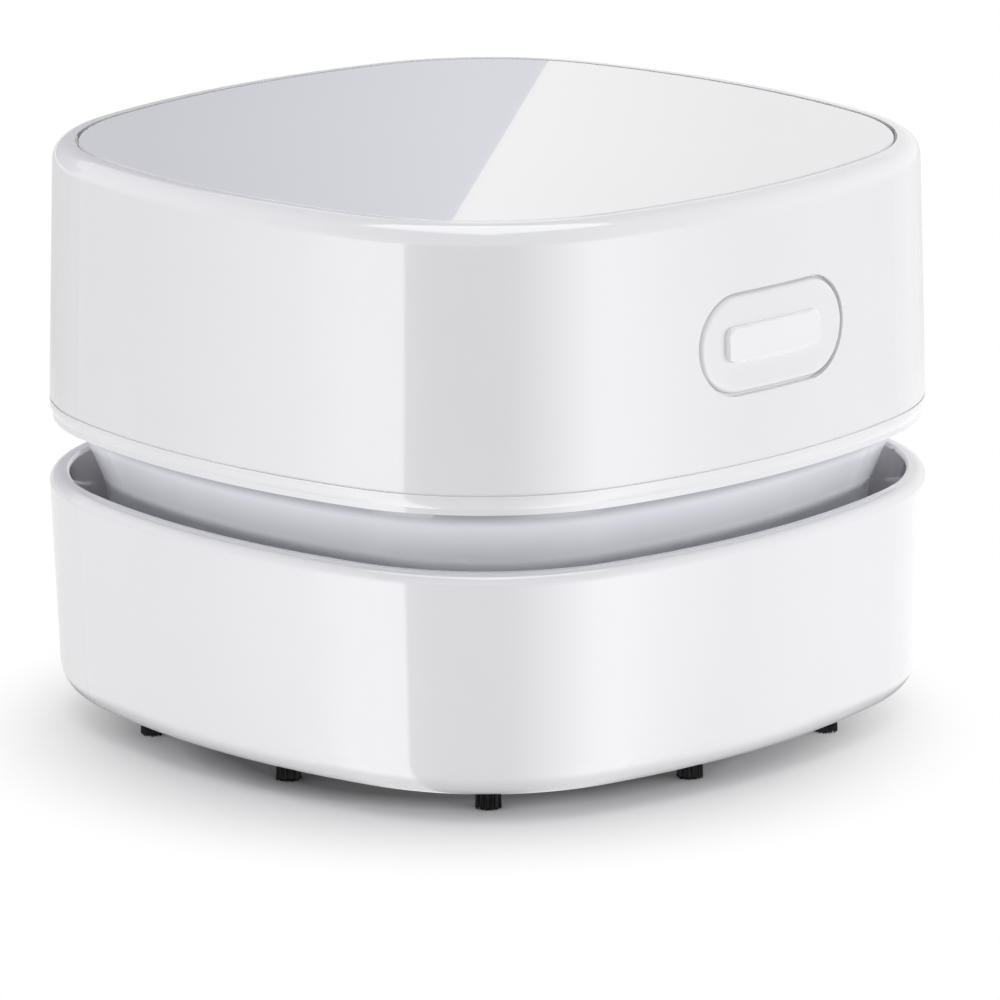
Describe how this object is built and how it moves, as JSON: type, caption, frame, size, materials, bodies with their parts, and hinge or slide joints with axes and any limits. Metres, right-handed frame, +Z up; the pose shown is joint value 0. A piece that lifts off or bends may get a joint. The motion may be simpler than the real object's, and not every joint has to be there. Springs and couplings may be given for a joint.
{
  "type": "desktop mini vacuum cleaner",
  "caption": "Rounded-square desk vacuum cleaner with dust box on bristles, lift-off fan head, side push button, filter, motor, fan and battery bay under a flush lid.",
  "frame": {"origin": "on the table under the middle of the body, at the tips of the bristles", "axes": "+Z up, -Y towards the push button, the two cells lie along X"},
  "size_m": [0.0842, 0.0845, 0.0618],
  "materials": {
    "white_gloss": "glossy white moulding",
    "lid_gloss": "glossy white lid",
    "housing_plastic": "satin white moulding",
    "bristle": "black nylon bristle",
    "inner_plastic": "fine matt white moulding",
    "filter_plastic": "matt black moulding",
    "mesh": "woven filter mesh",
    "seal_rubber": "soft black rubber",
    "screw_steel": "zinc-plated steel",
    "contact_steel": "nickel-plated spring steel",
    "motor_steel": "bright rolled steel",
    "bush_brass": "sintered bronze",
    "magnet": "dark bonded ferrite",
    "cap_plastic": "black moulding",
    "board": "green circuit board",
    "switch_plastic": "dark moulding",
    "plunger_plastic": "natural white moulding",
    "button_plastic": "glossy white cap",
    "bar_plastic": "bright white bar",
    "fan_plastic": "dark grey moulding",
    "cell_sleeve": "printed film over the cell's can",
    "cell_tip": "nickel-plated steel"
  },
  "bodies": {
    "dust_box": {"lower_shell": "white_gloss", "suction_nozzle": "inner_plastic", "brush_ring": "inner_plastic", "bristle_tufts": "bristle", "brush_ring_screws": "screw_steel"},
    "filter": {"filter_frame": "filter_plastic", "filter_mesh": "mesh", "filter_seal": "seal_rubber"},
    "head": {"fan_housing": "housing_plastic", "fan_cover": "inner_plastic", "fan_cover_screws": "screw_steel", "base_ring": "white_gloss", "housing_screws": "screw_steel", "base_screws": "screw_steel", "upper_shell": "white_gloss", "battery_tray": "inner_plastic", "tray_screws": "screw_steel", "contact_plates": "contact_steel", "contact_springs": "contact_steel", "motor_can": "motor_steel", "motor_bush": "bush_brass", "motor_screws": "screw_steel", "motor_magnets": "magnet", "motor_end_cap": "cap_plastic", "motor_terminals": "bush_brass", "switch_housing": "switch_plastic", "switch_board": "board"},
    "fan": {"impeller": "fan_plastic", "motor_shaft": "motor_steel", "motor_rotor": "motor_steel"},
    "button": {"button_cap": "button_plastic", "button_bar": "bar_plastic", "switch_plunger": "plunger_plastic"},
    "front_cell": {"front_cell": "cell_sleeve", "front_cell_tip": "cell_tip"},
    "rear_cell": {"rear_cell": "cell_sleeve", "rear_cell_tip": "cell_tip"},
    "lid": {"lid": "lid_gloss"}
  },
  "joints": [
    {"name": "filter_lift", "type": "slide", "parent": "dust_box", "child": "filter", "axis": [0, 0, 1], "range_m": [0, 0.03]},
    {"name": "head_lift", "type": "slide", "parent": "filter", "child": "head", "axis": [0, 0, 1], "range_m": [0, 0.04]},
    {"name": "fan_spin", "type": "hinge", "parent": "head", "child": "fan", "pos_m": [0, 0, 0.0275], "axis": [0, 0, 1], "continuous": true},
    {"name": "button_press", "type": "slide", "parent": "head", "child": "button", "axis": [0, 1, 0], "range_m": [0, 0.0012], "stiffness_N_per_m": 800, "springref_m": -0.0004},
    {"name": "front_cell_lift", "type": "slide", "parent": "head", "child": "front_cell", "axis": [0, 0, 1], "range_m": [0, 0.03]},
    {"name": "rear_cell_lift", "type": "slide", "parent": "front_cell", "child": "rear_cell", "axis": [0, 0, 1], "range_m": [0, 0.03]},
    {"name": "lid_lift", "type": "slide", "parent": "rear_cell", "child": "lid", "axis": [0, 0, 1], "range_m": [0, 0.03]}
  ]
}
